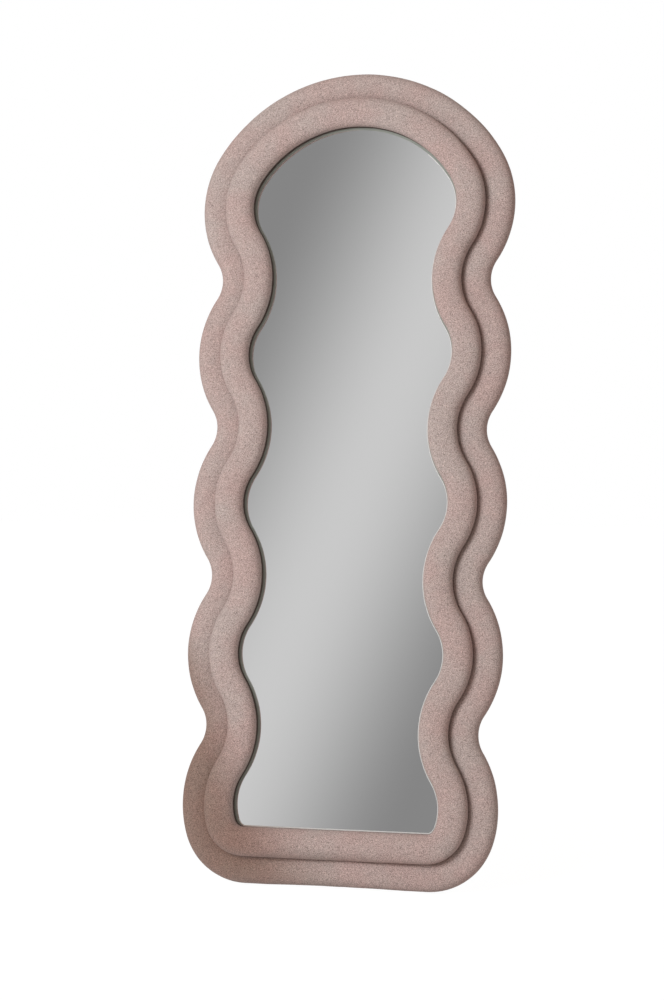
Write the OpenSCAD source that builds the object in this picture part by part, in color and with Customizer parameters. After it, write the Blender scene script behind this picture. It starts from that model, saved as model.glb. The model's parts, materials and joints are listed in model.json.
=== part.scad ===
// Full-length wavy mirror with a two-tier padded frame and a folding easel at the back.
// The panel is drawn lying flat (X across, Y up its face, Z = height above its rear plane),
// stood up with its front towards -Y, and leant back on its floor pads.

/* [Outline] */
// Height of the padded panel, measured along its face
panel_h = 1600; // [1500:5:1700]
// Half width across the bulges
bulge_w = 317.5; // [305:0.5:330]
// Depth of each wave, from the line of the bulges to the line of the necks
wave_depth = 44; // [38:0.5:50]
// Radius of the inward curve at each neck
neck_r = 64; // [50:1:80]
// Distance from the top down to the widest point of the shoulders
shoulder_drop = 266; // [250:1:280]
// Height of the lowest pair of necks
low_neck_z = 303; // [290:1:315]
// Radius of the swell above each bottom corner
lobe_r = 212; // [195:1:230]
// Radius of the two bottom corners
corner_r = 130; // [122:1:140]
// Angle below level at which the swell turns into the corner
corner_turn = 18; // [10:1:26]

/* [Padded tiers] */
// Width of the outer tier, from the outline to the crease
outer_w = 57; // [48:0.5:64]
// Height of the outer tier's crown above the rear plane
outer_crown = 37; // [32:0.5:42]
// Height at which the outer tier is widest
outer_mid = 15; // [12:0.5:18]
// Distance from the outline in to the widest point of the inner tier's outer side
inner_out = 53.3; // [50:0.1:55]
// Distance from the outline in to the innermost point of the padding
inner_in = 110; // [104:0.5:118]
// Height of the inner tier's crown
inner_crown = 64; // [58:0.5:70]
// Height at which the inner tier is widest
inner_mid = 45; // [42:0.5:48]
// Thickness of the cover fabric
fabric_t = 1.5; // [1:0.1:2]

/* [Boards and glass] */
// Thickness of the rear dust board
back_t = 3; // [2.5:0.1:4]
// Thickness of the main board
core_t = 12; // [9:0.5:15]
// Thickness of the inner tier's wooden ring
ring_t = 18; // [16:0.5:20]
// Width of the foam beside the main board's edge
edge_foam = 10; // [8:0.5:12]
// Distance from the outline to the dust board's edge
back_in = 14; // [12:0.5:18]
// Distance from the outline to the ring's outer edge
ring_out = 66; // [64:0.5:68]
// Width of the ring's lip that covers the glass edge
lip_w = 10; // [8:0.5:12]
// Thickness of the lip
lip_t = 4.5; // [3:0.5:6]
// Thickness of the mirror glass
glass_t = 4; // [3:0.5:5]
// Gap between the glass edge and the ring's rabbet
glass_gap = 2; // [1:0.5:3]

/* [Lean and easel] */
// Angle that the panel leans back from upright
lean = 6.8; // [5:0.1:9]
// Angle of the easel leg from upright
leg_angle = 8; // [6:0.5:12]
// Height of the hinge pins along the panel
pivot_z = 1000; // [900:5:1100]
// Height of the hinge pins above the panel's rear plane
pivot_y = 16; // [15:0.5:20]
// Distance of each hinge from the panel's middle
leg_x = 140; // [120:1:150]
// Outer radius of the easel tube
tube_r = 9.5; // [8:0.5:11]
// Wall of the easel tube
tube_wall = 1.5; // [1:0.1:2]
// Bend radius of the tube's lower corners
bend_r = 40; // [30:1:50]
// Radius of the hinge pins
pin_r = 3; // [2.5:0.1:4]
// Outer radius of the rubber sleeves on the foot bar
foot_r = 12.5; // [11.5:0.5:14]
// Length of each rubber sleeve
foot_len = 52; // [40:1:56]

/* [Hangers and pads] */
// Height of the hanging rings' pivots along the panel
hanger_z = 1290; // [1250:5:1320]
// Distance of each hanging ring from the panel's middle
hanger_x = 190; // [150:1:210]
// Half width of a hanging ring, at the middle of its wire
hanger_half = 13; // [11:0.5:16]
// Radius of the hanging ring's wire
wire_r = 1.5; // [1.2:0.1:2]
// Gap between each floor pad and the folded leg beside it
pad_gap = 3.5; // [2:0.5:6]
// Width of a floor pad
pad_w = 40; // [30:1:40]
// Thickness of a floor pad where it meets the floor
pad_t = 12; // [9:0.5:14]
// Height of a floor pad
pad_h = 52; // [48:1:60]

/* [Hidden] */
$fn = 48;

// Clearances
touch = 0.1;          // between a board and the foam round it
run_fit = 0.06;       // radial, between a pin and what turns on it
side_gap = 0.15;      // beside each hinge washer
stop_gap = 0.3;       // between the heel of the hinge block and its bracket

// Outline: a chain of tangent arcs down the right side, mirrored for the left
waves = 3.5;          // pitches from the shoulder to the lowest neck
shoulder_z = panel_h - shoulder_drop;
pitch = (shoulder_z - low_neck_z) / waves;
neck_w = bulge_w - wave_depth;
radii_sum = (wave_depth * wave_depth + pitch * pitch / 4) / (2 * wave_depth);
bulge_r = radii_sum - neck_r;
bulge_x = bulge_w - bulge_r;
neck_x = neck_w + neck_r;
top_r = (bulge_x * bulge_x + shoulder_drop * shoulder_drop - bulge_r * bulge_r)
    / (2 * (shoulder_drop - bulge_r));
lobe_z = corner_r + (lobe_r - corner_r) * sin(corner_turn);
lobe_reach = sqrt(pow(neck_r + lobe_r, 2) - pow(low_neck_z - lobe_z, 2));
// Signed radius of each arc: positive where it bulges out, negative at a neck
side_arcs = 2 * waves;
bend = concat([top_r], [for (i = [0:side_arcs]) i % 2 == 0 ? bulge_r : -neck_r], [lobe_r]);
lobe = len(bend) - 1;
// Direction of the outward normal at each joint, in thousandths of a degree
function thousandths(v) = round(v * 1000) / 1000;
top_angle = atan2(top_r - shoulder_drop, bulge_x);
wave_angle = asin(pitch / 2 / radii_sum);
lobe_angle = atan2(low_neck_z - lobe_z, lobe_reach);
angles = [for (a = concat([90, top_angle], [for (i = [1:side_arcs]) i % 2 == 0 ? wave_angle : -wave_angle],
    [lobe_angle, -corner_turn, -90])) thousandths(a)];
function normal(a) = [cos(a), sin(a)];
// Each arc's centre follows from the one above it, so that both share the joint and its normal
function centre(i) = i == 0 ? [0, panel_h - top_r] : centre(i - 1) + (bend[i - 1] - bend[i]) * normal(angles[i]);
centres = [for (i = [0:lobe]) centre(i)];
last_joint = centres[lobe] + lobe_r * normal(angles[lobe + 1]);
corner_fit = last_joint[1] / (1 + sin(angles[lobe + 1]));
corner_x = last_joint[0] - corner_fit * cos(angles[lobe + 1]);
pad_x = leg_x + tube_r + pad_gap + pad_w / 2;
// Each arc is [centre x, centre z, radius, side]
arcs = concat([for (i = [0:lobe]) [centres[i][0], centres[i][1], abs(bend[i]), sign(bend[i])]],
    [[corner_x, corner_fit, corner_fit, 1]]);
last_arc = len(arcs) - 1;
lap = 2;
plate_sag = 0.08;     // how far an edge of a flat board may stray from its arc, less than the foam's clearance

// Heights above the rear plane, from the back to the front
hem_z = back_t;
core_z = hem_z + fabric_t;
core_front = core_z + core_t;
ring_z = core_front + fabric_t;
ring_front = ring_z + ring_t;
lip_z = ring_front - lip_t;
glass_front = lip_z - fabric_t;
glass_back = glass_front - glass_t;

// Distances in from the outline
tuck_w = 18;          // from the padding's innermost point back to the ring's inner edge
flank_w = 3;          // foam and fabric over the lip's edge
hem_w = 14;           // fabric turned over a board
screw_edge = 20;      // from the dust board's edge to its screws
ring_in = inner_in - tuck_w;
lip_in = ring_in + lip_w;
glass_in = ring_in + glass_gap;
flank_in = lip_in + flank_w;
rear_hem = edge_foam + hem_w;
front_hem = ring_out + hem_w;
screw_in = back_in + screw_edge;
ring_screw_in = (front_hem + ring_in) / 2;

// Hardware
screw_head_r = 4;
screw_head_t = 2;
screw_r = 2;
screw_gap = 0.05;
plate_t = 2.5;
bracket_w = 60;
bracket_h = 60;
bracket_hole_x = 21;
bracket_hole_z = 20;
ear_t = 2.5;
ear_r = 10;
block_r = 9;
block_w = 18;
heel_w = block_w - 1;
washer_t = 1;
washer_r = 7;
ear_gap = block_w / 2 + washer_t + 2 * side_gap;
spigot_len = 34;
tube_top = 22;        // from the pin down to the tube's end
collar_h = 9;
strap_w = 14;
strap_t = 1.5;
strap_l = 52;
knuckle_r = 3.2;
ring_drop = 8;        // straight part of a hanging ring's sides
bumper_x = 110;
bumper_z = panel_h - 105;
bumper_r = 10;
bumper_h = 6;
foot_gap = 3;         // between a sleeve and the start of the bend
foot_x = leg_x - bend_r - foot_len / 2 - foot_gap;
foot_flat = 0.5;

module leant() { translate([0, origin_y, 0]) rotate([-lean, 0, 0]) children(); }
module laid_flat() { leant() rotate([90, 0, 0]) children(); }
module at_pivot(side) { translate([side * leg_x, origin_y + pivot_back, pivot_up]) children(); }
module along_leg() { rotate([leg_angle, 0, 0]) children(); }

// Whole millimetres, thousandths and the rest, each in a move of its own, so that arcs meet exactly
module place(x, y = 0) {
    big = [floor(x), floor(y)];
    small = [floor((x - big[0]) * 1000) / 1000, floor((y - big[1]) * 1000) / 1000];
    translate(big) translate(small) translate([x, y] - big - small) children();
}

// Sweep a section down one side. A section's x is the distance in from the outline, its y the height
module half_sweep() {
    for (i = [0:last_arc]) {
        lo = min(angles[i], angles[i + 1]);
        hi = max(angles[i], angles[i + 1]);
        place(arcs[i][0], arcs[i][1])
        if (arcs[i][3] > 0)
            rotate_extrude(start = lo, angle = hi - lo, $fn = 96) place(arcs[i][2]) mirror([1, 0]) children();
        else
            rotate_extrude(start = lo + 180, angle = hi - lo, $fn = 96) place(arcs[i][2]) children();
    }
    // The straight bottom: whole millimetres from the middle, and a lap that meets the corner exactly
    rotate([90, 0, 90]) linear_extrude(floor(corner_x)) children();
    place(corner_x) translate([-lap, 0, 0]) rotate([90, 0, 90]) linear_extrude(lap) children();
}
module swept() {
    half_sweep() children();
    mirror([1, 0, 0]) half_sweep() children();
}

// Board outline at a distance in from the panel's own outline
function arc_points(i, off) = let (
    turn = angles[i + 1] - angles[i],
    step = 2 * acos(1 - plate_sag / abs(arcs[i][2] * arcs[i][3] - off)),
    n = max(1, ceil(abs(turn) / step)))
    [for (k = [0:n - 1]) let (t = angles[i] + turn * k / n)
        [arcs[i][0], arcs[i][1]] + (arcs[i][2] * arcs[i][3] - off) * [cos(t), sin(t)]];
module board_shape(off) {
    right = [for (i = [0:last_arc]) each arc_points(i, off)];
    left = [for (i = [len(right) - 1:-1:1]) [-right[i][0], right[i][1]]];
    polygon(concat(right, [[corner_x, off], [-corner_x, off]], left));
}
module board(off, z0, z1) { translate([0, 0, z0]) linear_extrude(z1 - z0) board_shape(off); }

// Point on an oval, and a run of such points
function oval(cx, cy, rx, ry, from, to, n) =
    [for (k = [0:n]) let (a = from + (to - from) * k / n) [cx + rx * cos(a), cy + ry * sin(a)]];

// Faces of the two padded tiers at a depth s under the fabric's outer face
crease_angle = 33;
outer_c = outer_w / 2;
function outer_face(s) = concat(
    oval(edge_foam - touch, outer_mid, edge_foam - touch - s, outer_mid - hem_z - s, 270, 180, 3),
    oval(outer_c, outer_mid, outer_c - s, outer_crown - outer_mid - s, 162, 90, 4),
    oval(outer_c, outer_mid, outer_c / cos(crease_angle) - s, outer_crown - outer_mid - s, 71, crease_angle, 2));
inner_c = (inner_out + inner_in) / 2;
inner_half = (inner_in - inner_out) / 2;
outer_tuck = 33;      // how far down the inner tier's outer side carries on as an oval
inner_tuck = 24;
function inner_face(s) = concat(
    oval(inner_c, inner_mid, inner_half - s, outer_tuck, 213, 180, 2),
    oval(inner_c, inner_mid, inner_half - s, inner_crown - inner_mid - s, 162, 18, 8),
    oval(inner_c, inner_mid, inner_half - s, inner_tuck, 0, -34, 2));
function backwards(p) = [for (i = [len(p) - 1:-1:0]) p[i]];

// The panel leans back on its pads; the box round the whole mirror is centred on the origin
pivot_back = pivot_y * cos(lean) + pivot_z * sin(lean);
pivot_up = pivot_z * cos(lean) - pivot_y * sin(lean);
foot_up = foot_r - foot_flat;
leg_len = (pivot_up - foot_up) / cos(leg_angle);
foot_back = pivot_back + leg_len * sin(leg_angle);
front_most = min([for (p = inner_face(0)) p[0] * sin(lean) - p[1] * cos(lean)]);
origin_y = -(front_most + foot_back + foot_r) / 2;
ring_back = knuckle_r * cos(lean) + hanger_z * sin(lean);
ring_up = hanger_z * cos(lean) - knuckle_r * sin(lean);

module outer_cover_section() {
    polygon(concat(
        [[rear_hem, hem_z]], outer_face(0),
        [[outer_w, ring_z], [front_hem, ring_z], [front_hem, core_front], [outer_w - fabric_t, core_front]],
        backwards(outer_face(fabric_t)), [[rear_hem, core_z]]));
}
module outer_foam_section() {
    polygon(concat(
        outer_face(fabric_t),
        [[outer_w - fabric_t, core_front + touch], [edge_foam - touch, core_front + touch]]));
}
cover_foot = ring_out - 4.5;
module inner_cover_section() {
    polygon(concat(
        [[cover_foot, ring_z + stop_gap]], inner_face(0),
        [[flank_in, glass_front], [glass_in, glass_front], [glass_in, lip_z], [flank_in - fabric_t, lip_z]],
        backwards(inner_face(fabric_t)), [[cover_foot + fabric_t, ring_z + stop_gap]]));
}
module inner_foam_section() {
    polygon(concat(
        [[cover_foot + fabric_t, ring_z + stop_gap]], inner_face(fabric_t),
        [[flank_in - fabric_t, lip_z], [lip_in + touch, lip_z], [lip_in + touch, ring_front + touch],
         [ring_out - touch, ring_front + touch], [ring_out - touch, ring_z + stop_gap]]));
}

// Screw places, in panel coordinates [x, z]
both = [-1, 1];
function rim_places(off) = concat(
    [for (s = both, i = [1:lobe - 1]) [s * ((arcs[i][3] > 0 ? bulge_w : neck_w) - off), arcs[i][1]]],
    [[0, panel_h - off], [-corner_x / 2, off], [corner_x / 2, off]]);
board_places = rim_places(screw_in);
ring_places = rim_places(ring_screw_in);
bracket_places = [for (s = both, dx = both, dz = both)
    [s * leg_x + dx * bracket_hole_x, pivot_z + dz * bracket_hole_z]];
strap_drops = [30, 44];
strap_places = [for (s = both, dz = strap_drops) [s * hanger_x, hanger_z - dz]];
pad_places = [for (s = both, dz = [28, 44]) [s * pad_x, dz]];

// A run of screws with their heads at height y behind the rear plane, and the holes that they need
module screws(places, y, len) {
    for (p = places) translate([p[0], y, p[1]]) {
        rotate([90, 0, 0]) cylinder(h = len, r = screw_r, $fn = 24);
        difference() {
            rotate([-90, 0, 0]) cylinder(h = screw_head_t, r1 = screw_head_r, r2 = screw_head_r - 1.2, $fn = 32);
            for (a = [0, 90]) rotate([0, a, 0]) translate([-0.5, screw_head_t - 1.2, -2]) cube([1, 2, 4]);
        }
    }
}
module screw_holes(places, from, to) {
    for (p = places) translate([p[0], p[1], from]) cylinder(h = to - from, r = screw_r + screw_gap, $fn = 24);
}
rear_places = concat(board_places, bracket_places, strap_places, pad_places);
screw_depth = core_z + 10;

module back_board() {
    color("dimgray") laid_flat() difference() {
        board(back_in, 0, back_t);
        screw_holes(rear_places, -1, back_t + 1);
    }
}

module outer_core() {
    color("burlywood") laid_flat() difference() {
        board(edge_foam, core_z, core_front);
        screw_holes(rear_places, core_z - 1, screw_depth + touch);
        screw_holes(ring_places, core_z - 1, core_front + 1);
        for (p = ring_places) translate([p[0], p[1], core_z - touch])
            cylinder(h = screw_head_t + touch, r = screw_head_r + touch, $fn = 32);
    }
}

module inner_core() {
    color("burlywood") laid_flat() difference() {
        board(ring_out, ring_z, ring_front);
        board(ring_in, ring_z - 1, lip_z);
        board(lip_in, lip_z - 1, ring_front + 1);
        screw_holes(ring_places, ring_z - 1, ring_z + 14);
    }
}

module outer_foam() { color("ivory") laid_flat() swept() outer_foam_section(); }
module inner_foam() { color("ivory") laid_flat() swept() inner_foam_section(); }
module outer_cover() { color("rosybrown") laid_flat() swept() outer_cover_section(); }
module inner_cover() { color("rosybrown") laid_flat() swept() inner_cover_section(); }
module mirror_glass() { color("lightgray") laid_flat() board(glass_in, glass_back, glass_front); }
module backing_foam() { color("white") laid_flat() board(glass_in + 1, core_front, glass_back); }
module board_screws() { color("darkgray") leant() screws(board_places, 0, screw_depth); }
module ring_screws() {
    color("darkgray") leant() screws(ring_places, -core_z - screw_head_t, ring_z + 12 - core_z - screw_head_t);
}

// Folded steel bracket: a plate against the board and two round-nosed ears that hold the pin
module hinge_bracket(side) {
    color("black") leant() translate([side * leg_x, 0, pivot_z]) {
        rotate([-90, 0, 0]) difference() {
            linear_extrude(plate_t) rounded_plate(bracket_w, bracket_h, 6);
            for (x = both, z = both) translate([x * bracket_hole_x, z * bracket_hole_z, -1])
                cylinder(h = plate_t + 2, r = screw_r + screw_gap, $fn = 24);
        }
        for (s = both) translate([s * (ear_gap + ear_t / 2) - ear_t / 2, 0, 0]) rotate([90, 0, 90])
            linear_extrude(ear_t) difference() {
                union() {
                    translate([pivot_y, 0]) circle(ear_r);
                    translate([plate_t - 1, -ear_r]) square([pivot_y - plate_t + 1, 2 * ear_r]);
                    polygon([[plate_t - 1, -ear_r - 6], [plate_t, -ear_r - 6], [plate_t + 7, -ear_r],
                             [plate_t + 7, ear_r], [plate_t, ear_r + 6], [plate_t - 1, ear_r + 6]]);
                }
                translate([pivot_y, 0]) circle(pin_r + run_fit / 2);
            }
    }
}
module left_hinge_bracket() { hinge_bracket(-1); }
module right_hinge_bracket() { hinge_bracket(1); }
module bracket_screws() { color("darkgray") leant() screws(bracket_places, plate_t, screw_depth + plate_t - 1); }

module rounded_plate(w, h, r) {
    square([w - 2 * r, h], center = true);
    square([w, h - 2 * r], center = true);
    for (x = both, y = both) translate([x * (w / 2 - r), y * (h / 2 - r)]) circle(r);
}

// Riveted pin with a domed head at each end
module hinge_pin(side) {
    reach = ear_gap + ear_t;
    color("silver") at_pivot(side) rotate([0, 90, 0]) {
        translate([0, 0, -reach]) cylinder(h = 2 * reach, r = pin_r);
        for (s = both) translate([0, 0, s * reach]) rotate([90 - 90 * s, 0, 0]) rivet_head();
    }
}
module rivet_head() {
    rotate_extrude() polygon(concat([[0, 0]], oval(0, 0, pin_r + 2.5, 2.2, 0, 90, 6)));
}
module left_hinge_pin() { hinge_pin(-1); }
module right_hinge_pin() { hinge_pin(1); }

module hinge_washers() {
    color("whitesmoke") for (side = both, s = both) at_pivot(side)
        translate([s * (block_w / 2 + side_gap + washer_t / 2), 0, 0]) rotate([0, 90, 0]) difference() {
            cylinder(h = washer_t, r = washer_r, center = true);
            cylinder(h = washer_t + 2, r = pin_r + run_fit, center = true);
        }
}

// Bent tube: two legs and a foot bar, hollow all through
module leg_solid(r) {
    straight = leg_len - tube_top - bend_r;
    for (s = both) {
        translate([s * leg_x, 0, -tube_top - straight]) cylinder(h = straight, r = r);
        translate([s * (leg_x - bend_r), 0, -leg_len + bend_r]) rotate([90, 0, 0])
            rotate_extrude(start = s > 0 ? 270 : 180, angle = 90) translate([bend_r, 0]) circle(r);
    }
    translate([0, 0, -leg_len]) rotate([0, 90, 0]) cylinder(h = 2 * (leg_x - bend_r), r = r, center = true);
}
module in_leg() { translate([0, origin_y + pivot_back, pivot_up]) along_leg() children(); }
module leg_tube() {
    color("black") in_leg() difference() {
        leg_solid(tube_r);
        leg_solid(tube_r - tube_wall);
    }
}

// Moulded block: an eye on the pin, a collar and a spigot in the tube, and a heel that stops on the bracket
module pivot_block(side) {
    spigot_r = tube_r - tube_wall - run_fit;
    heel_y = pivot_y - plate_t - stop_gap;
    heel_r = 17;
    color("dimgray") difference() {
        union() {
            at_pivot(side) along_leg() {
                rotate([0, 90, 0]) cylinder(h = block_w, r = block_r, center = true);
                translate([0, 0, -tube_top]) cylinder(h = tube_top, r = block_r - 0.6);
                translate([0, 0, -tube_top]) cylinder(h = collar_h, r = tube_r);
                translate([0, 0, -tube_top - spigot_len]) cylinder(h = spigot_len + 1, r = spigot_r);
            }
            at_pivot(side) rotate([-lean, 0, 0]) rotate([90, 0, 90]) linear_extrude(heel_w, center = true)
                intersection() {
                    circle(heel_r);
                    translate([-heel_y, 0]) square([heel_y + 5, heel_r + 1]);
                }
        }
        at_pivot(side) rotate([0, 90, 0]) cylinder(h = block_w + 2, r = pin_r + run_fit, center = true);
    }
}
module left_pivot_block() { pivot_block(-1); }
module right_pivot_block() { pivot_block(1); }

// Ribbed rubber sleeve on the foot bar, worn flat where it stands
module leg_foot(side) {
    groove = 1.2;
    color("black") difference() {
        in_leg() translate([side * foot_x, 0, -leg_len]) rotate([0, 90, 0]) rotate_extrude() difference() {
            translate([tube_r + run_fit / 2, -foot_len / 2]) square([foot_r - tube_r - run_fit / 2, foot_len]);
            for (z = [-foot_len / 2 + 8:8:foot_len / 2 - 4]) translate([foot_r, z]) circle(groove, $fn = 16);
        }
        translate([side * foot_x - foot_len, origin_y + foot_back - foot_r, -foot_r]) cube([2 * foot_len, 2 * foot_r, foot_r]);
    }
}
module left_leg_foot() { leg_foot(-1); }
module right_leg_foot() { leg_foot(1); }

// Hanging ring: a strap with a rolled knuckle, and a D-shaped wire ring that hangs from it
module hanger_strap(side) {
    color("silver") leant() translate([side * hanger_x, 0, hanger_z]) difference() {
        union() {
            translate([0, knuckle_r, 0]) rotate([0, 90, 0]) cylinder(h = strap_w, r = knuckle_r, center = true);
            translate([-strap_w / 2, 0, -strap_l + strap_w / 2]) cube([strap_w, strap_t, strap_l - strap_w / 2]);
            translate([0, 0, -strap_l + strap_w / 2]) rotate([-90, 0, 0]) cylinder(h = strap_t, r = strap_w / 2);
        }
        translate([0, knuckle_r, 0]) rotate([0, 90, 0]) cylinder(h = strap_w + 2, r = wire_r + run_fit, center = true);
        for (dz = strap_drops) translate([0, -1, -dz]) rotate([-90, 0, 0])
            cylinder(h = strap_t + 2, r = screw_r + screw_gap, $fn = 24);
    }
}
module left_hanger_strap() { hanger_strap(-1); }
module right_hanger_strap() { hanger_strap(1); }
module hanger_screws() { color("darkgray") leant() screws(strap_places, strap_t, screw_depth + strap_t - 1); }

module hanger_ring(side) {
    color("silver") translate([side * hanger_x, origin_y + ring_back, ring_up]) {
        rotate([0, 90, 0]) cylinder(h = 2 * hanger_half, r = wire_r, center = true);
        for (s = both) translate([s * hanger_half, 0, -ring_drop]) {
            cylinder(h = ring_drop, r = wire_r);
            translate([0, 0, ring_drop]) sphere(wire_r);
        }
        translate([0, 0, -ring_drop]) rotate([90, 0, 0]) rotate_extrude(start = 180, angle = 180)
            translate([hanger_half, 0]) circle(wire_r);
    }
}
module left_hanger_ring() { hanger_ring(-1); }
module right_hanger_ring() { hanger_ring(1); }

// Rubber floor pad behind the bottom edge, its foot cut level with the floor
module base_pad(side) {
    head_t = 6;
    color("black") leant() translate([side * pad_x - pad_w / 2, 0, 0]) difference() {
        rotate([90, 0, 90]) linear_extrude(pad_w) polygon(concat(
            [[0, 0], [pad_t, pad_t * tan(lean)], [pad_t, 8]],
            oval(pad_t, 18, pad_t - head_t, 10, 250, 180, 5),
            oval(head_t - 3, pad_h - 3, 3, 3, 0, 90, 4), [[0, pad_h]]));
        for (p = pad_places) if (p[0] * side > 0) translate([pad_w / 2, 0, p[1]]) rotate([-90, 0, 0]) {
            translate([0, 0, -1]) cylinder(h = pad_t, r = screw_r + screw_gap, $fn = 24);
            translate([0, 0, head_t - 2.5]) cylinder(h = pad_t, r = screw_head_r + 0.5, $fn = 32);
        }
    }
}
module left_base_pad() { base_pad(-1); }
module right_base_pad() { base_pad(1); }
module pad_screws() { color("darkgray") leant() screws(pad_places, 3.5, screw_depth + 2.5); }

// Domed bumpers that keep the top edge off a wall
module wall_bumpers() {
    color("black") leant() for (s = both) translate([s * bumper_x, 0, bumper_z]) rotate([-90, 0, 0])
        rotate_extrude() polygon(concat([[0, 0], [bumper_r, 0]], oval(0, 1.5, bumper_r, bumper_h - 1.5, 0, 90, 8)));
}

back_board();
outer_core();
inner_core();
outer_foam();
inner_foam();
outer_cover();
inner_cover();
mirror_glass();
backing_foam();
board_screws();
ring_screws();
left_hinge_bracket();
right_hinge_bracket();
bracket_screws();
left_hinge_pin();
right_hinge_pin();
hinge_washers();
leg_tube();
left_pivot_block();
right_pivot_block();
left_leg_foot();
right_leg_foot();
left_hanger_strap();
right_hanger_strap();
hanger_screws();
left_hanger_ring();
right_hanger_ring();
left_base_pad();
right_base_pad();
pad_screws();
wall_bumpers();
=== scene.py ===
import json
from math import asin, atan2, ceil, cos, pi, radians, sin, sqrt

import bpy
from mathutils import Matrix, Vector


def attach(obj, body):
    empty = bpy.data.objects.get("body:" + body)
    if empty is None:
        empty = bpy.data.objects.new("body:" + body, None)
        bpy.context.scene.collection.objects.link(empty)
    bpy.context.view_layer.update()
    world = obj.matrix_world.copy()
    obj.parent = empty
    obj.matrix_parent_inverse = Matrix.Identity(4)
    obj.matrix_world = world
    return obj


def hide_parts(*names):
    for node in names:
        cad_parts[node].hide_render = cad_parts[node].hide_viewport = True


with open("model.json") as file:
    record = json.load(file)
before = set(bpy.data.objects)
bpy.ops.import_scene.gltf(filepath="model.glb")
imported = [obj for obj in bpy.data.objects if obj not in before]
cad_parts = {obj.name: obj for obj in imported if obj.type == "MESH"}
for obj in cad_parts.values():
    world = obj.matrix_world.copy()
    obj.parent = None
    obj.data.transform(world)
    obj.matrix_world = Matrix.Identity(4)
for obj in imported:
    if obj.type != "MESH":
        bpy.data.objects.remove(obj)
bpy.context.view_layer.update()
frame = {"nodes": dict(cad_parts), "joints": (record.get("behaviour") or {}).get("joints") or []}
nodes = frame["nodes"]
print("frame loaded:", len(nodes), "nodes")

# everything is in metres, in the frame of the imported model: front towards -Y, floor at Z = 0

camera = {
    "place": (1.337, -4.853, 0.867),
    "turn": (88.641, -0.029, 15.896),  # degrees
    "lens": 91.84,                     # mm
    "sensor": 36,                      # mm along the picture's long side
    "farthest": 60,                    # metres that it sees
}


def addCamera():
    bpy.ops.object.camera_add(location=camera["place"], rotation=[radians(a) for a in camera["turn"]])
    cam = bpy.context.object
    cam.data.lens = camera["lens"]
    cam.data.sensor_width = camera["sensor"]
    cam.data.clip_end = camera["farthest"]
    bpy.context.scene.camera = cam


addCamera()
print("camera placed")

panel = {
    "height": 1.6,          # along the face
    "bulge": 0.3175,        # half width across the bulges
    "waveDepth": 0.044,
    "neckRadius": 0.064,
    "shoulderDrop": 0.266,  # from the top down to the widest point of the shoulders
    "lowNeck": 0.303,       # height of the lowest necks
    "lobeRadius": 0.212,    # the swell above each bottom corner
    "cornerRadius": 0.130,
    "cornerTurn": 18,       # degrees below level at which the swell turns into the corner
    "waves": 3.5,
    "lean": 6.8,            # degrees back from upright
    "pinUp": 1.0,           # height of the easel's pins along the panel
    "pinBack": 0.016,       # and behind its rear plane
    "glassFront": 0.030,    # height of the glass above the rear plane
}

lean = radians(panel["lean"])
pinY = next(j for j in frame["joints"] if j["name"] == "easel_fold")["pos_m"][1]
originY = pinY - panel["pinBack"] * cos(lean) - panel["pinUp"] * sin(lean)
outward = Vector((0, -cos(lean), sin(lean)))  # the way the glass faces


def stand(x, up, height):
    # a point of the panel, from its place on the face and its height above the rear plane
    return (x, originY - height * cos(lean) + up * sin(lean), height * sin(lean) + up * cos(lean))


def outlineArcs():
    # tangent arcs down the right side: centre, signed radius, and the normal's angle at both ends
    p = panel
    pitch = (p["height"] - p["shoulderDrop"] - p["lowNeck"]) / p["waves"]
    radii = (p["waveDepth"] ** 2 + pitch ** 2 / 4) / (2 * p["waveDepth"])
    bulge = radii - p["neckRadius"]
    bulgeX = p["bulge"] - bulge
    top = (bulgeX ** 2 + p["shoulderDrop"] ** 2 - bulge ** 2) / (2 * (p["shoulderDrop"] - bulge))
    turn = radians(p["cornerTurn"])
    lobeUp = p["cornerRadius"] + (p["lobeRadius"] - p["cornerRadius"]) * sin(turn)
    steps = int(2 * p["waves"])
    bends = [top] + [bulge if i % 2 == 0 else -p["neckRadius"] for i in range(steps + 1)]
    bends.append(p["lobeRadius"])
    wave = asin(pitch / 2 / radii)
    angles = [pi / 2, atan2(top - p["shoulderDrop"], bulgeX)]
    angles += [wave if i % 2 == 0 else -wave for i in range(1, steps + 1)]
    angles += [asin((p["lowNeck"] - lobeUp) / (p["neckRadius"] + p["lobeRadius"])), -turn, -pi / 2]
    x, z = 0.0, p["height"] - top
    arcs = []
    for i, bend in enumerate(bends):
        if i:
            x += (bends[i - 1] - bend) * cos(angles[i])
            z += (bends[i - 1] - bend) * sin(angles[i])
        arcs.append((x, z, bend, angles[i], angles[i + 1]))
    jointX, jointZ = x + bends[-1] * cos(angles[-2]), z + bends[-1] * sin(angles[-2])
    corner = jointZ / (1 + sin(angles[-2]))
    arcs.append((jointX - corner * cos(angles[-2]), corner, corner, angles[-2], angles[-1]))
    return arcs


def outlineStations(step, beyond):
    # (x, z, normal x, normal z) all round, clockwise from the middle of the top
    right = []
    for x, z, bend, start, end in outlineArcs():
        count = max(2, ceil(abs(end - start) * (abs(bend) + beyond) / step))
        for k in range(count):
            a = start + (end - start) * k / count
            right.append((x + bend * cos(a), z + bend * sin(a), cos(a), sin(a)))
    cornerX = outlineArcs()[-1][0]
    count = ceil(2 * cornerX / step)
    bottom = [(cornerX * (1 - 2 * k / count), 0.0, 0.0, -1.0) for k in range(count + 1)]
    left = [(-x, z, -nx, nz) for x, z, nx, nz in reversed(right[1:])]
    return right + bottom + left


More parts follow.
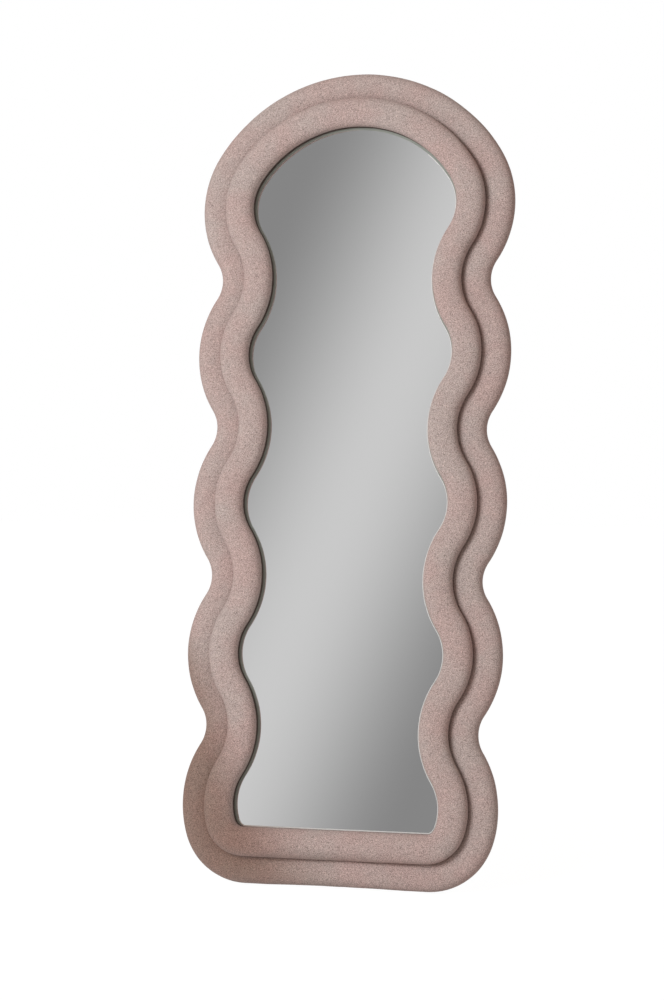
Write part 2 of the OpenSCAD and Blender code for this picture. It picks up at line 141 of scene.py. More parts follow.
# sizes of the tiers' sections: distances in from the outline, and heights above the rear plane
tiers = {
    "step": 0.0055,         # along the outline
    "beyond": 0.03,         # how far outside its arcs the step is measured
    "fullness": 2.5,        # 2 is an oval, more is flatter on top
    "outer": {
        "width": 0.057, "crown": 0.037, "middle": 0.015,         # middle is the height of its widest point
        "middleLine": 0.028,                                     # where the UV map is true to length
        "creaseAt": 0.0566, "creaseAngle": 36,                   # degrees above level
        "rearHem": 0.024, "hemTurn": 0.007, "hemRear": 0.003, "hemFront": 0.0044,
        "edgeFoam": 0.0099, "boardFront": 0.0167,
        "tuckTop": 0.0235, "tuckLow": 0.0205, "tuckIn": 0.0004, "tuckFoot": 0.002,
        "frontHem": 0.078, "ringRear": 0.0179,
    },
    "inner": {
        "out": 0.0533, "in": 0.11, "crown": 0.064, "middle": 0.045,
        "middleLine": 0.082,
        "foot": 0.0615, "footUp": 0.0183, "tuckOut": 0.0595, "tuckUp": 0.0228,
        "outerDrop": 0.033, "innerDrop": 0.024,                  # its two sides as quarters of ovals,
        "outerTurn": 33, "innerTurn": 34,                        # and how many degrees of each are used
        "flank": 0.105, "glassFront": 0.0301, "glassEdge": 0.094,
        "hemTop": 0.0315, "boardIn": 0.1021, "boardOut": 0.0659, "boardTop": 0.0361,
    },
}


def ovalRun(cx, cy, rx, ry, start, end, count, fullness=2.0):
    # points on an oval, from one angle in degrees to another
    run = []
    for k in range(count + 1):
        a = radians(start + (end - start) * k / count)
        across, up = (abs(v) ** (2 / fullness) * (1 if v > 0 else -1) for v in (cos(a), sin(a)))
        run.append((cx + rx * across, cy + ry * up))
    return run


def outerSection():
    # the stuffed face from the rear hem round the side and the crown to the crease, and then what lies
    # against the boards; each run of points starts a few degrees after the last one ends
    t, full = tiers["outer"], tiers["fullness"]
    middle = t["width"] / 2
    rise = t["crown"] - t["middle"]
    reach = (t["creaseAt"] - middle) / cos(radians(t["creaseAngle"])) ** (2 / full)
    face = ([(t["rearHem"], t["hemRear"]), (t["rearHem"] - t["hemTurn"], t["hemRear"])]
            + ovalRun(t["edgeFoam"], t["middle"], t["edgeFoam"], t["middle"] - t["hemRear"], 270, 180, 8)
            + ovalRun(middle, t["middle"], middle, rise, 172, 90, 14, full)
            + ovalRun(middle, t["middle"], reach, rise, 84, t["creaseAngle"], 6, full))
    hidden = [(t["width"], t["tuckTop"]), (t["width"] + t["tuckIn"], t["tuckLow"]),
              (t["width"] + t["tuckFoot"], t["ringRear"]), (t["frontHem"], t["ringRear"]),
              (t["frontHem"], t["boardFront"]), (t["edgeFoam"], t["boardFront"]),
              (t["edgeFoam"], t["hemFront"]), (t["rearHem"], t["hemFront"])]
    return face, hidden


def innerSection():
    # the same for the inner tier, from its foot in the crease over the crown and down to the glass
    t, full = tiers["inner"], tiers["fullness"]
    middle, half = (t["out"] + t["in"]) / 2, (t["in"] - t["out"]) / 2
    face = ([(t["foot"], t["footUp"]), (t["tuckOut"], t["tuckUp"])]
            + ovalRun(middle, t["middle"], half, t["outerDrop"], 180 + t["outerTurn"], 180, 7)
            + ovalRun(middle, t["middle"], half, t["crown"] - t["middle"], 173, 7, 26, full)
            + ovalRun(middle, t["middle"], half, t["innerDrop"], 0, -t["innerTurn"], 6))
    hidden = [(t["flank"], t["glassFront"]), (t["glassEdge"], t["glassFront"]),
              (t["glassEdge"], t["hemTop"]), (t["boardIn"], t["hemTop"]),
              (t["boardIn"], t["boardTop"]), (t["boardOut"], t["boardTop"]),
              (t["boardOut"], t["footUp"])]
    return face, hidden


def alone(piece):
    bpy.ops.object.select_all(action="DESELECT")
    piece.select_set(True)
    bpy.context.view_layer.objects.active = piece


def sweptRoll(name, face, hidden, stations, middle):
    # one closed ring of quads, with a UV map in metres: along the middle line, and round the section
    section = face + hidden
    points, quads, along, across = [], [], [0.0], [0.0]
    rows, cols = len(stations), len(section)
    for x, z, nx, nz in stations:
        points += [stand(x - nx * d, z - nz * d, t) for d, t in section]
    line = [(x - nx * middle, z - nz * middle) for x, z, nx, nz in stations]
    for i in range(rows):
        here, after = line[i], line[(i + 1) % rows]
        along.append(along[-1] + sqrt((here[0] - after[0]) ** 2 + (here[1] - after[1]) ** 2))
    for j in range(cols):
        here, after = section[j], section[(j + 1) % cols]
        across.append(across[-1] + sqrt((here[0] - after[0]) ** 2 + (here[1] - after[1]) ** 2))
    for i in range(rows):
        for j in range(cols):
            a, b = (i + 1) % rows, (j + 1) % cols
            quads.append((i * cols + j, i * cols + b, a * cols + b, a * cols + j))
    mesh = bpy.data.meshes.new(name)
    mesh.from_pydata(points, [], quads)
    uv = mesh.uv_layers.new(name="weave").data
    for quad in mesh.polygons:
        i, j = divmod(quad.index, cols)
        for loop, (du, dv) in zip(quad.loop_indices, ((0, 0), (0, 1), (1, 1), (1, 0))):
            uv[loop].uv = (along[i + du], across[j + dv])
    roll = bpy.data.objects.new(name, mesh)
    bpy.context.scene.collection.objects.link(roll)
    held = roll.vertex_groups.new(name="held")
    hem = (0, 1, *range(len(face) - 1, cols))
    held.add([i * cols + j for i in range(rows) for j in hem], 1.0, "REPLACE")
    return roll


def closeAndSmooth(piece, sharpest=50):
    # normals out, and smooth shading over every edge up to this many degrees
    alone(piece)
    bpy.ops.object.mode_set(mode="EDIT")
    bpy.ops.mesh.select_all(action="SELECT")
    bpy.ops.mesh.normals_make_consistent(inside=False)
    bpy.ops.object.mode_set(mode="OBJECT")
    bpy.ops.object.shade_smooth_by_angle(angle=radians(sharpest))


def padUnevenly(piece, depth, size):
    # stuffing is never quite even: a soft cloud pushes the fabric in and out
    cloud = bpy.data.textures.new(piece.name + "Stuffing", "CLOUDS")
    cloud.noise_scale = size
    cloud.noise_depth = 1
    push = piece.modifiers.new("stuffing", "DISPLACE")
    push.texture = cloud
    push.texture_coords = "LOCAL"
    push.strength = depth
    push.mid_level = 0.5
    alone(piece)
    bpy.ops.object.modifier_apply(modifier="stuffing")


stuffing = {
    "pressure": 4.0,
    "frames": 20,
    "quality": 4,
    "weight": 0.3,
    "stretch": 40.0,
    "bend": 2.0,
    "cap": 0.0025,          # how far a point of the cover may move
    "unevenDepth": 0.0008,
    "unevenSize": 0.07,
}


def stuffCover(roll):
    # the cover is blown up over its foam as cloth, held along its hems, and the result is kept in the mesh
    s = stuffing
    before = [v.co.copy() for v in roll.data.vertices]
    cloth = roll.modifiers.new("cover", "CLOTH")
    settings = cloth.settings
    settings.quality = s["quality"]
    settings.mass = s["weight"]
    settings.tension_stiffness = settings.compression_stiffness = s["stretch"]
    settings.bending_stiffness = s["bend"]
    settings.vertex_group_mass = "held"
    settings.use_pressure = True
    settings.uniform_pressure_force = s["pressure"]
    settings.effector_weights.gravity = 0
    cloth.collision_settings.use_collision = False
    cloth.point_cache.frame_start, cloth.point_cache.frame_end = 1, s["frames"]
    for step in range(1, s["frames"] + 1):
        bpy.context.scene.frame_set(step)
    alone(roll)
    bpy.ops.object.modifier_apply(modifier="cover")
    furthest = 0.0
    for vertex, old in zip(roll.data.vertices, before):
        move = vertex.co - old
        furthest = max(furthest, move.length)
        if move.length > s["cap"]:
            vertex.co = old + move.normalized() * s["cap"]
    bpy.context.scene.frame_set(1)
    print(roll.name, "stuffed, furthest move", round(furthest * 1000, 2), "mm")


def makeTiers():
    stations = outlineStations(tiers["step"], tiers["beyond"])
    outerRoll = sweptRoll("outerRoll", *outerSection(), stations, tiers["outer"]["middleLine"])
    innerRoll = sweptRoll("innerRoll", *innerSection(), stations, tiers["inner"]["middleLine"])
    for roll in (outerRoll, innerRoll):
        closeAndSmooth(roll)
        padUnevenly(roll, stuffing["unevenDepth"], stuffing["unevenSize"])
        stuffCover(roll)
        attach(roll, "panel")
    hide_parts("outer_cover", "outer_foam")
    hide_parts("inner_cover", "inner_foam")
    return outerRoll, innerRoll


outerRoll, innerRoll = makeTiers()
print("padded tiers made:", len(outerRoll.data.polygons), "and", len(innerRoll.data.polygons), "faces")

edging = {
    "facing": 0.9,          # how squarely the glass's front face looks to the front
    "edgeOn": 0.5,          # and how little a wall of the liner does
    "linerIn": 0.0153,      # from the edge of the glass in to the liner
    "linerThick": 0.0006,
    "linerTall": 0.0055,
    "groundIn": 0.0159,     # in to the ground edge, the grey-green band
    "groundWide": 0.0044,
    "groundThick": 0.0002,
    "rimIn": 0.0204,        # in to the rim, a pale line of painted highlight
    "rimWide": 0.0014,
    "rimThick": 0.0003,
    "rimFrom": 0.14,        # above the corners the painted highlight is on the right side only, from this far out
    "cornerUp": 0.131,      # height from which the rim drops, out to the padding
    "footUp": 0.1172,       # height of its foot before the drop, and the end of the ground edge
    "footDrop": 0.0038,
    "mostDrop": 1.1,        # its outer side lies lower, and may drop by more, up to this ratio squared
    "mergeNear": 0.00001,
}


def deleteFaces(piece, unwanted):
    # starts in object mode and ends in edit mode, without the faces for which unwanted is true
    for face in piece.data.polygons:
        face.select = unwanted(face)
    bpy.ops.object.mode_set(mode="EDIT")
    bpy.ops.mesh.delete(type="FACE")


def glassFace(name):
    # the front face of the glass, copied and merged into one face
    piece = bpy.data.objects.new(name, nodes["mirror_glass"].data.copy())
    bpy.context.scene.collection.objects.link(piece)
    piece.data.materials.clear()
    alone(piece)
    bpy.ops.object.mode_set(mode="EDIT")
    bpy.ops.mesh.select_all(action="SELECT")
    bpy.ops.mesh.remove_doubles(threshold=edging["mergeNear"])
    bpy.ops.mesh.select_mode(type="FACE")
    bpy.ops.mesh.select_all(action="DESELECT")
    bpy.ops.object.mode_set(mode="OBJECT")
    deleteFaces(piece, lambda face: face.normal.dot(outward) < edging["facing"])
    bpy.ops.mesh.select_all(action="SELECT")
    bpy.ops.mesh.dissolve_faces()
    return piece


def insetAndKeep(distance, keep):
    # inset the one face: keep what lies inside the new edge, or the band between the two
    bpy.ops.mesh.select_all(action="SELECT")
    bpy.ops.mesh.inset(thickness=distance, use_even_offset=True)
    if keep == "inside":
        bpy.ops.mesh.select_all(action="INVERT")
    bpy.ops.mesh.delete(type="FACE")


def finishEdging(piece, thick):
    # a wall of this thickness, closed, and carried by the panel
    bpy.ops.object.mode_set(mode="OBJECT")
    wall = piece.modifiers.new("wall", "SOLIDIFY")
    wall.thickness = thick
    wall.offset = 1
    bpy.ops.object.modifier_apply(modifier="wall")
    closeAndSmooth(piece)
    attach(piece, "panel")


def makeLiner():
    # a liner stands on the glass, under the inner tier's overhang; its near-black colour is painted shade,
    # the shadow under the overhang
    liner = glassFace("rebateLiner")
    insetAndKeep(edging["linerIn"], "inside")
    bpy.ops.mesh.select_all(action="SELECT")
    bpy.ops.mesh.extrude_region_move(TRANSFORM_OT_translate={"value": outward * edging["linerTall"]})
    bpy.ops.mesh.delete(type="FACE")
    bpy.ops.mesh.select_all(action="SELECT")
    bpy.ops.object.mode_set(mode="OBJECT")
    deleteFaces(liner, lambda face: abs(face.normal.dot(outward)) > edging["edgeOn"])
    finishEdging(liner, edging["linerThick"])
    return liner


def makeBand(name, distance, width, unwanted):
    # a narrow flat band on the glass, without the faces that are unwanted
    band = glassFace(name)
    insetAndKeep(distance, "inside")
    insetAndKeep(width, "band")
    bpy.ops.mesh.select_all(action="DESELECT")
    bpy.ops.object.mode_set(mode="OBJECT")
    deleteFaces(band, unwanted)
    bpy.ops.object.mode_set(mode="OBJECT")
    return band


def makeGroundEdge():
    band = makeBand("groundEdge", edging["groundIn"], edging["groundWide"],
                    lambda face: face.center.z < edging["footUp"])
    finishEdging(band, edging["groundThick"])
    return band


def makeRimHighlight():
    # the rim is a painted highlight, a pale line where the glass's edge catches the light: it leaves out
    # the left side and the top, and along the bottom it drops out to the padding
    e = edging
    band = makeBand("glassRimHighlight", e["rimIn"], e["rimWide"],
                    lambda face: face.center.z > e["cornerUp"] and face.center.x < e["rimFrom"])
    for vertex in band.data.vertices:
        low = (e["cornerUp"] - vertex.co.z) / (e["cornerUp"] - e["footUp"])
        low = min(e["mostDrop"], max(0.0, low))
        vertex.co -= Vector((0, sin(lean), cos(lean))) * e["footDrop"] * low * low
    finishEdging(band, e["rimThick"])
    return band


rebateLiner = makeLiner()
groundEdge = makeGroundEdge()
glassRimHighlight = makeRimHighlight()
print("liner, ground edge and rim made:", len(rebateLiner.data.polygons), "faces in the liner")


def startMaterial(name):
    material = bpy.data.materials.new(name)
    material.use_nodes = True
    tree = material.node_tree
    return material, tree, tree.nodes["Principled BSDF"]


def put(tree, kind, **settings):
    # a new node: each setting is one of its own, or the value of a socket
    node = tree.nodes.new(kind)
    for name, value in settings.items():
        if hasattr(node, name):
            setattr(node, name, value)
        else:
            node.inputs[name].default_value = value
    return node


def ramp(tree, stops, interpolation="LINEAR"):
    node = tree.nodes.new("ShaderNodeValToRGB")
    node.color_ramp.interpolation = interpolation
    while len(node.color_ramp.elements) < len(stops):
        node.color_ramp.elements.new(0.5)
    for element, (place, colour) in zip(node.color_ramp.elements, stops):
        element.position = place
        element.color = (*colour, 1)
    return node


def wire(tree, a, output, b, socket):
    tree.links.new(a.outputs[output], b.inputs[socket])


def mixColour(tree, blend, factor, a, b):
    # each of factor, a and b is a value or a (node, output) pair
    node = put(tree, "ShaderNodeMix", data_type="RGBA", blend_type=blend)
    for index, item in ((0, factor), (6, a), (7, b)):
        if isinstance(item, tuple) and hasattr(item[0], "outputs"):
            tree.links.new(item[0].outputs[item[1]], node.inputs[index])
        else:
            node.inputs[index].default_value = item
    return node


moulding = {
    "fineDetail": 3.0,
    "fineRoughness": 0.6,
    "dustScale": 26.0,      # per metre
    "dustDetail": 2.0,
    "bump": 0.6,
}


def surfaceGrain():
    # fine moulded or painted grain: a roughness between two values, a height for the bump, and dust
    m = moulding
    group = bpy.data.node_groups.new("surfaceGrain", "ShaderNodeTree")
    group.interface.new_socket(name="Place", in_out="INPUT", socket_type="NodeSocketVector")
    for name in ("Scale", "Smooth", "Rough"):
        group.interface.new_socket(name=name, in_out="INPUT", socket_type="NodeSocketFloat")
    for name in ("Roughness", "Height", "Dust"):
        group.interface.new_socket(name=name, in_out="OUTPUT", socket_type="NodeSocketFloat")
    start, end = group.nodes.new("NodeGroupInput"), group.nodes.new("NodeGroupOutput")
    fine = put(group, "ShaderNodeTexNoise", Detail=m["fineDetail"], Roughness=m["fineRoughness"])
    wide = put(group, "ShaderNodeTexNoise", Scale=m["dustScale"], Detail=m["dustDetail"])
    spread = put(group, "ShaderNodeMapRange")
    wire(group, start, "Place", fine, "Vector")
    wire(group, start, "Scale", fine, "Scale")
    wire(group, start, "Place", wide, "Vector")
    wire(group, wide, "Fac", spread, "Value")
    wire(group, start, "Smooth", spread, "To Min")
    wire(group, start, "Rough", spread, "To Max")
    wire(group, spread, "Result", end, "Roughness")
    wire(group, fine, "Fac", end, "Height")
    wire(group, wide, "Fac", end, "Dust")
    return group


grainGroup = surfaceGrain()


def grainedMaterial(name, colour, dusty, smooth, rough, scale, depth, metal=0.0):
    # smooth and rough are the roughness at its least and most, scale and depth the grain's
    material, tree, surface = startMaterial(name)
    place = put(tree, "ShaderNodeTexCoord")
    grain = put(tree, "ShaderNodeGroup", node_tree=grainGroup, Scale=scale, Smooth=smooth, Rough=rough)
    bump = put(tree, "ShaderNodeBump", Strength=moulding["bump"], Distance=depth)
    tint = mixColour(tree, "MIX", (grain, "Dust"), (*colour, 1), (*dusty, 1))
    wire(tree, place, "Object", grain, "Place")
    wire(tree, grain, "Roughness", surface, "Roughness")
    wire(tree, grain, "Height", bump, "Height")
    wire(tree, bump, "Normal", surface, "Normal")
    tree.links.new(tint.outputs[2], surface.inputs["Base Color"])
    surface.inputs["Metallic"].default_value = metal
    return material


fabric = {
    "beige": (0.440, 0.358, 0.327),
    "pink": (0.453, 0.334, 0.304),
    "patchScale": 9.0,      # per metre
    "patchDetail": 3.5,
    "patchRoughness": 0.6,
    "patchSpan": (0.38, 0.62),
    "darkFleck": 0.40,      # how much a dark or a pale yarn changes the colour
    "paleFleck": 1.55,
    "fleckSpan": (0.30, 0.50, 0.72),
    "yarnScale": 620.0,
    "yarnDetail": 2.0,
    "yarnRoughness": 0.6,
    "nubScale": 1.15,       # times the yarn's
    "nubDepth": 0.0004,
    "nubStrength": 0.6,
    "roughness": 0.92,
    "sheen": 0.12,
    "sheenRoughness": 0.5,
    "sheenTint": (0.85, 0.75, 0.72),
    "specular": 0.2,
}


def coverFabric():
    # heathered felt: soft patches of two tones, with dark and pale yarns through both
    f = fabric
    dark, plain, pale = ((level,) * 3 for level in (f["darkFleck"], 1.0, f["paleFleck"]))
    material, tree, surface = startMaterial("coverFabric")
    place = put(tree, "ShaderNodeTexCoord")
    patch = put(tree, "ShaderNodeTexNoise", Scale=f["patchScale"], Detail=f["patchDetail"],
                Roughness=f["patchRoughness"])
    tone = ramp(tree, list(zip(f["patchSpan"], (f["beige"], f["pink"]))))
    yarn = put(tree, "ShaderNodeTexNoise", Scale=f["yarnScale"], Detail=f["yarnDetail"],
               Roughness=f["yarnRoughness"])
    heather = ramp(tree, list(zip(f["fleckSpan"], (dark, plain, pale))))
    nubs = put(tree, "ShaderNodeTexVoronoi", feature="SMOOTH_F1", Scale=f["yarnScale"] * f["nubScale"])
    height = put(tree, "ShaderNodeMath", operation="SUBTRACT")
    bump = put(tree, "ShaderNodeBump", Strength=f["nubStrength"], Distance=f["nubDepth"])
    for node in (patch, yarn, nubs):
        wire(tree, place, "Object", node, "Vector")
    wire(tree, patch, "Fac", tone, "Fac")
    wire(tree, yarn, "Fac", heather, "Fac")
    colour = mixColour(tree, "MULTIPLY", 1.0, (tone, "Color"), (heather, "Color"))
    tree.links.new(colour.outputs[2], surface.inputs["Base Color"])
    wire(tree, yarn, "Fac", height, 0)
    wire(tree, nubs, "Distance", height, 1)
    wire(tree, height, "Value", bump, "Height")
    wire(tree, bump, "Normal", surface, "Normal")
    surface.inputs["Roughness"].default_value = f["roughness"]
    surface.inputs["Sheen Weight"].default_value = f["sheen"]
    surface.inputs["Sheen Roughness"].default_value = f["sheenRoughness"]
    surface.inputs["Sheen Tint"].default_value = (*f["sheenTint"], 1)
    surface.inputs["Specular IOR Level"].default_value = f["specular"]
    return material


fabricMaterial = coverFabric()
for roll in (outerRoll, innerRoll):
    roll.data.materials.append(fabricMaterial)
print("cover fabric made")

glass = {
    "silver": (0.87, 0.87, 0.87),
    "edge": (0.03, 0.075, 0.055),
    "edgeStart": 0.35,      # a face that looks forwards by less than this is edge
    "edgeEnd": 0.65,        # and by more than this, silver
    "hazeScale": 7.0,
    "hazeDetail": 4.0,
    "leastRough": 0.012,
    "mostRough": 0.03,
}


def mirrorGlass():
    # silver in front with a faint haze, and dark green along the edge
    material, tree, surface = startMaterial("mirrorGlass")
    place = put(tree, "ShaderNodeTexCoord")
    facing = put(tree, "ShaderNodeVectorMath", operation="DOT_PRODUCT")
    facing.inputs[1].default_value = outward
    front = ramp(tree, [(glass["edgeStart"], (0, 0, 0)), (glass["edgeEnd"], (1, 1, 1))])
    haze = put(tree, "ShaderNodeTexNoise", Scale=glass["hazeScale"], Detail=glass["hazeDetail"])
    hazeRange = put(tree, "ShaderNodeMapRange")
    hazeRange.inputs["To Min"].default_value = glass["leastRough"]
    hazeRange.inputs["To Max"].default_value = glass["mostRough"]
    tint = mixColour(tree, "MIX", (front, "Color"), (*glass["edge"], 1), (*glass["silver"], 1))
    wire(tree, place, "Normal", facing, 0)
    wire(tree, facing, "Value", front, "Fac")
    wire(tree, place, "Object", haze, "Vector")
    wire(tree, haze, "Fac", hazeRange, "Value")
    wire(tree, hazeRange, "Result", surface, "Roughness")
    wire(tree, front, "Color", surface, "Metallic")
    tree.links.new(tint.outputs[2], surface.inputs["Base Color"])
    return material


# colour and dusty are the two tones, smooth and rough the least and most roughness
finishes = {
    "board": dict(colour=(0.40, 0.29, 0.18), dusty=(0.50, 0.38, 0.25),
                  smooth=0.7, rough=0.9, scale=600.0, depth=0.0002),
    "dustBoard": dict(colour=(0.020, 0.020, 0.022), dusty=(0.038, 0.037, 0.038),
                      smooth=0.55, rough=0.78, scale=700.0, depth=0.0001),
    "backingSheet": dict(colour=(0.80, 0.81, 0.83), dusty=(0.86, 0.86, 0.87),
                         smooth=0.6, rough=0.8, scale=400.0, depth=0.0003),
    "zincScrew": dict(colour=(0.56, 0.56, 0.55), dusty=(0.66, 0.66, 0.66),
                      metal=1.0, smooth=0.25, rough=0.42, scale=1500.0, depth=0.00002),
    "powderCoat": dict(colour=(0.014, 0.014, 0.015), dusty=(0.026, 0.026, 0.027),
                       smooth=0.34, rough=0.48, scale=1100.0, depth=0.00009),
    "rivetSteel": dict(colour=(0.58, 0.58, 0.57), dusty=(0.68, 0.68, 0.67),
                       metal=1.0, smooth=0.2, rough=0.34, scale=1700.0, depth=0.00001),
    "nylon": dict(colour=(0.74, 0.73, 0.68), dusty=(0.80, 0.79, 0.75),
                  smooth=0.4, rough=0.55, scale=1300.0, depth=0.00004),
    "mouldedBlack": dict(colour=(0.022, 0.022, 0.023), dusty=(0.036, 0.036, 0.037),
                         smooth=0.42, rough=0.58, scale=1400.0, depth=0.00006),
    "rubber": dict(colour=(0.018, 0.018, 0.018), dusty=(0.045, 0.044, 0.042),
                   smooth=0.72, rough=0.9, scale=800.0, depth=0.00012),
    "nickel": dict(colour=(0.60, 0.57, 0.51), dusty=(0.70, 0.67, 0.62),
                   metal=1.0, smooth=0.16, rough=0.3, scale=1900.0, depth=0.00001),
    # the liner's near-black is painted shade: the shadow under the inner tier's overhang
    "linerPaintedShade": dict(colour=(0.075, 0.055, 0.043), dusty=(0.100, 0.078, 0.062),
                      smooth=0.8, rough=0.95, scale=900.0, depth=0.0001),
    "groundGlass": dict(colour=(0.265, 0.280, 0.245), dusty=(0.315, 0.330, 0.290),
                        smooth=0.5, rough=0.7, scale=700.0, depth=0.00002),
    # pale as painted highlight: the glass's edge catching the light
    "paintedRimHighlight": dict(colour=(0.68, 0.67, 0.64), dusty=(0.76, 0.75, 0.72),
                        smooth=0.3, rough=0.45, scale=700.0, depth=0.00001),
}

wearing = {
    "board": ["outer_core", "inner_core"],
    "dustBoard": ["back_board"],
    "backingSheet": ["backing_foam"],
    "zincScrew": ["board_screws", "ring_screws", "bracket_screws", "hanger_screws", "pad_screws"],
    "powderCoat": ["left_hinge_bracket", "right_hinge_bracket", "leg_tube"],
    "rivetSteel": ["left_hinge_pin", "right_hinge_pin"],
    "nylon": ["hinge_washers"],
    "mouldedBlack": ["left_pivot_block", "right_pivot_block"],
    "rubber": ["left_leg_foot", "right_leg_foot", "left_base_pad", "right_base_pad", "wall_bumpers"],
    "nickel": ["left_hanger_strap", "right_hanger_strap", "left_hanger_ring", "right_hanger_ring"],
}


def dress(nodeName, material):
    # this material in every slot of a carried-over node
    mesh = nodes[nodeName].data
    if not mesh.materials:
        mesh.materials.append(material)
    for index in range(len(mesh.materials)):
        mesh.materials[index] = material


dress("mirror_glass", mirrorGlass())
for finish, names in wearing.items():
    material = grainedMaterial(finish, **finishes[finish])
    for name in names:
        dress(name, material)
# the liner's dark is painted shade, and the rim's pale is painted highlight
trims = ((rebateLiner, "linerPaintedShade"), (groundEdge, "groundGlass"), (glassRimHighlight, "paintedRimHighlight"))
for piece, finish in trims:
    piece.data.materials.append(grainedMaterial(finish, **finishes[finish]))
for name in ("outer_cover", "inner_cover", "outer_foam", "inner_foam"):
    dress(name, fabricMaterial)
print("glass, boards and hardware dressed")


def pointAt(thing, target):
    thing.rotation_euler = (Vector(target) - thing.location).to_track_quat("-Z", "Y").to_euler()


def addPlane(name, size, place):
    bpy.ops.object.select_all(action="DESELECT")
    bpy.ops.mesh.primitive_plane_add(size=size, location=place)
    plane = bpy.context.object
    plane.name = name
    return plane


def hideFrom(thing, *rays):
    for ray in rays:
        setattr(thing, "visible_" + ray, False)


def seenBy(tree, *rays):
    # the (node, output) that is 1 for any of these kinds of ray
    path = put(tree, "ShaderNodeLightPath")
    seen = (path, rays[0])
    for ray in rays[1:]:
        either = put(tree, "ShaderNodeMath", operation="MAXIMUM")
        wire(tree, *seen, either, 0)
        wire(tree, path, ray, either, 1)
        seen = (either, "Value")
    return seen


def blendTo(tree, end, factor, plain, other):
    # the tree's last shader: plain where the factor is 0, and other where it is 1
    blend = put(tree, "ShaderNodeMixShader")
    wire(tree, *factor, blend, 0)
    wire(tree, plain, 0, blend, 1)
    wire(tree, other, 0, blend, 2)
    wire(tree, blend, 0, tree.nodes[end], "Surface")


floorPaint = {
    "size": 40.0,
    "colour": (0.85, 0.85, 0.85),
    "roughness": 0.9,
    "glow": 0.89,           # how much of the floor is plain white, and not lit
    "glowStrength": 1.09,
}


def addFloor():
    # a pale floor that keeps shadows, and looks almost white to the camera and in the mirror
    floor = addPlane("studioFloor", floorPaint["size"], (0, 0, 0))
    material, tree, surface = startMaterial("studioFloor")
    surface.inputs["Base Color"].default_value = (*floorPaint["colour"], 1)
    surface.inputs["Roughness"].default_value = floorPaint["roughness"]
    glow = put(tree, "ShaderNodeEmission", Strength=floorPaint["glowStrength"])
    share = put(tree, "ShaderNodeMath", operation="MULTIPLY")
    share.inputs[1].default_value = floorPaint["glow"]
    wire(tree, *seenBy(tree, "Is Camera Ray", "Is Glossy Ray"), share, 0)
    blendTo(tree, "Material Output", (share, "Value"), surface, glow)
    floor.data.materials.append(material)
    return floor


greyCard = {
    "away": 4.0,            # metres in front of the glass
    "size": 3.4,
    "bandTurn": 20.2,       # degrees
    "bandHalf": 0.64,       # from the bright middle of the card out to its dark sides
    "bandShift": -0.045,
    "dark": 0.27,
    "light": 0.67,
}


def addCard():
    # a grey card out in front, which only the mirror sees: a bright band that falls off to both sides
    g = greyCard
    middle = Vector(stand(0, panel["height"] / 2, panel["glassFront"]))
    look = (middle - Vector(camera["place"])).normalized()
    card = addPlane("mirrorCard", g["size"], middle + look.reflect(outward) * g["away"])
    pointAt(card, middle)
    dark, light = (g["dark"],) * 3, (g["light"],) * 3
    material, tree, surface = startMaterial("mirrorCard")
    place = put(tree, "ShaderNodeTexCoord")
    turn = put(tree, "ShaderNodeMapping")
    turn.inputs["Rotation"].default_value = (0, 0, radians(g["bandTurn"]))
    split = put(tree, "ShaderNodeSeparateXYZ")
    spread = put(tree, "ShaderNodeMapRange")
    spread.inputs["From Min"].default_value = -g["bandHalf"] - g["bandShift"]
    spread.inputs["From Max"].default_value = g["bandHalf"] - g["bandShift"]
    shade = ramp(tree, [(0.0, dark), (0.5, light), (1.0, dark)], "EASE")
    glow = put(tree, "ShaderNodeEmission")
    wire(tree, place, "Object", turn, "Vector")
    wire(tree, turn, "Vector", split, "Vector")
    wire(tree, split, "X", spread, "Value")
    wire(tree, spread, "Result", shade, "Fac")
    wire(tree, shade, "Color", glow, "Color")
    wire(tree, glow, 0, tree.nodes["Material Output"], "Surface")
    tree.nodes.remove(surface)
    card.data.materials.append(material)
    hideFrom(card, "camera", "diffuse", "shadow", "transmission")


sky = {
    "level": 0.36,
    "colour": (1.08, 0.90, 0.82),
}


def addSky():
    # a plain level of light all round, and white wherever the camera, a mirror or glass shows it
    world = bpy.data.worlds.new("studioSky")
    bpy.context.scene.world = world
    world.use_nodes = True
    tree = world.node_tree
    light = tree.nodes["Background"]
    light.inputs["Color"].default_value = (*sky["colour"], 1)
    light.inputs["Strength"].default_value = sky["level"]
    white = put(tree, "ShaderNodeBackground", Color=(1, 1, 1, 1), Strength=1.0)
    seen = seenBy(tree, "Is Camera Ray", "Is Glossy Ray", "Is Transmission Ray")
    blendTo(tree, "World Output", seen, light, white)


keyLamp = {
    "place": (-2.1, -4.7, 2.5),
    "aim": (0, 0, 0.8),
    "size": 2.3,
    "power": 204.0,
    "colour": (0.95, 1.0, 1.04),
}

flagShape = {
    "top": (-0.37, 0.54, 0.04),     # ends of its shadow's edge: x, height along the face, and height
    "foot": (-0.06, -0.04, 0.04),   # above the rear plane
    "deep": 0.55,
    "overrun": 1.3,                 # how much longer it is than its shadow's edge
    "near": 0.04,                   # how far it stands from the panel, as a share of the way to the lamp
    "edge": (0.62, 0.72),           # where across it the soft edge starts and ends
    "raggedScale": 3.2,
    "raggedDetail": 1.0,
    "raggedDepth": 0.35,
    "shade": (0.23, 0.13, 0.07),    # what it lets through, warmer than the lamp
}


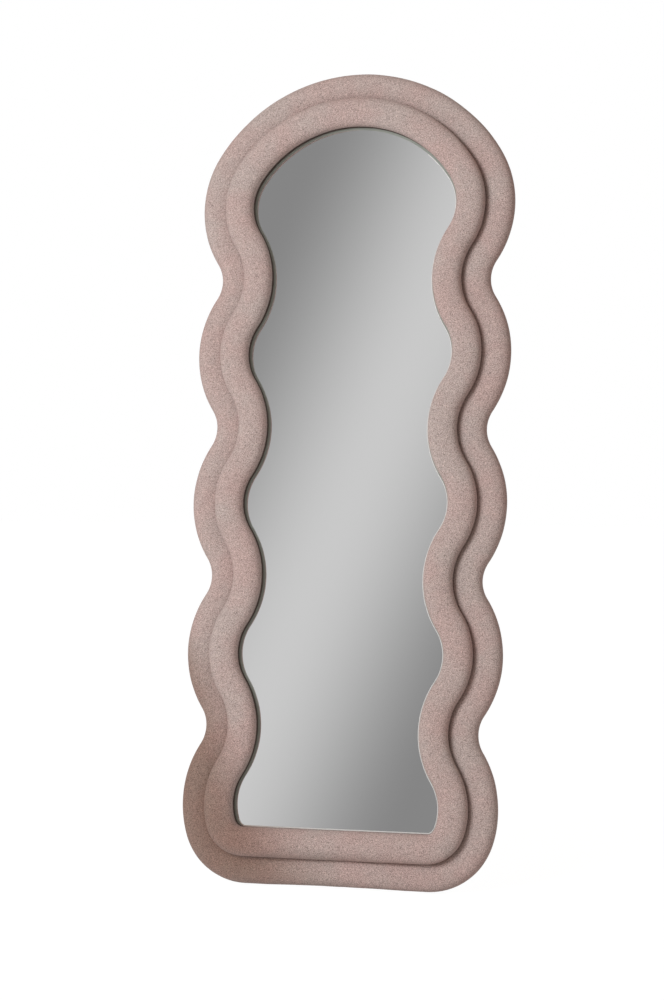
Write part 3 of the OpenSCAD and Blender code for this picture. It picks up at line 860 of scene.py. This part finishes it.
def addFlag():
    # a soft-edged flag near the panel, which keeps the key lamp off its lower left corner
    f = flagShape
    lamp = Vector(keyLamp["place"])
    top, foot = Vector(stand(*f["top"])), Vector(stand(*f["foot"]))
    inwards = (foot - top).cross(outward).normalized() * f["deep"]
    middle = (top + foot + inwards) / 2
    middle += (lamp - middle) * f["near"]
    facing = (lamp - middle).normalized()
    along = (foot - top - facing * (foot - top).dot(facing)).normalized()
    flag = addPlane("keyFlag", 1, middle)
    flag.rotation_euler = Matrix((along, facing.cross(along), facing)).transposed().to_euler()
    flag.scale = ((foot - top).length * f["overrun"], f["deep"], 1)
    material, tree, surface = startMaterial("keyFlag")
    place = put(tree, "ShaderNodeTexCoord")
    split = put(tree, "ShaderNodeSeparateXYZ")
    ragged = put(tree, "ShaderNodeTexNoise", Scale=f["raggedScale"], Detail=f["raggedDetail"])
    push = put(tree, "ShaderNodeMath", operation="MULTIPLY_ADD")
    push.inputs[1].default_value = f["raggedDepth"]
    edge = ramp(tree, list(zip(f["edge"], (f["shade"], (1, 1, 1)))), "EASE")
    clear = put(tree, "ShaderNodeBsdfTransparent")
    wire(tree, place, "Object", split, "Vector")
    wire(tree, place, "Object", ragged, "Vector")
    wire(tree, ragged, "Fac", push, 0)
    wire(tree, split, "Y", push, 2)
    wire(tree, push, "Value", edge, "Fac")
    wire(tree, edge, "Color", clear, "Color")
    wire(tree, clear, 0, tree.nodes["Material Output"], "Surface")
    tree.nodes.remove(surface)
    flag.data.materials.append(material)
    hideFrom(flag, "camera", "glossy", "diffuse", "transmission")
    return flag


def linkGroup(name, thing, state):
    # a collection for light linking, which takes one thing in or leaves it out
    group = bpy.data.collections.new(name)
    group.objects.link(thing)
    group.collection_objects[0].light_linking.link_state = state
    return group


def addLamp(name):
    # a key lamp, of which the light linking is handed back
    bpy.ops.object.light_add(type="AREA", location=keyLamp["place"])
    lamp = bpy.context.object
    lamp.name = name
    lamp.data.size = keyLamp["size"]
    lamp.data.energy = keyLamp["power"]
    lamp.data.color = keyLamp["colour"]
    hideFrom(lamp, "glossy")
    pointAt(lamp, keyLamp["aim"])
    return lamp.light_linking


def addLamps(floor, flag):
    # the key lamp, and the same again for the floor alone, on which the flag throws no shadow
    keyLinks, floorLinks = addLamp("keyLamp"), addLamp("floorLamp")
    keyLinks.receiver_collection = linkGroup("allButFloor", floor, "EXCLUDE")
    floorLinks.receiver_collection = linkGroup("floorOnly", floor, "INCLUDE")
    floorLinks.blocker_collection = linkGroup("allButFlag", flag, "EXCLUDE")


floor = addFloor()
addCard()
addSky()
addLamps(floor, addFlag())
bpy.context.scene.view_settings.view_transform = "Standard"
print("stage and lamps set")
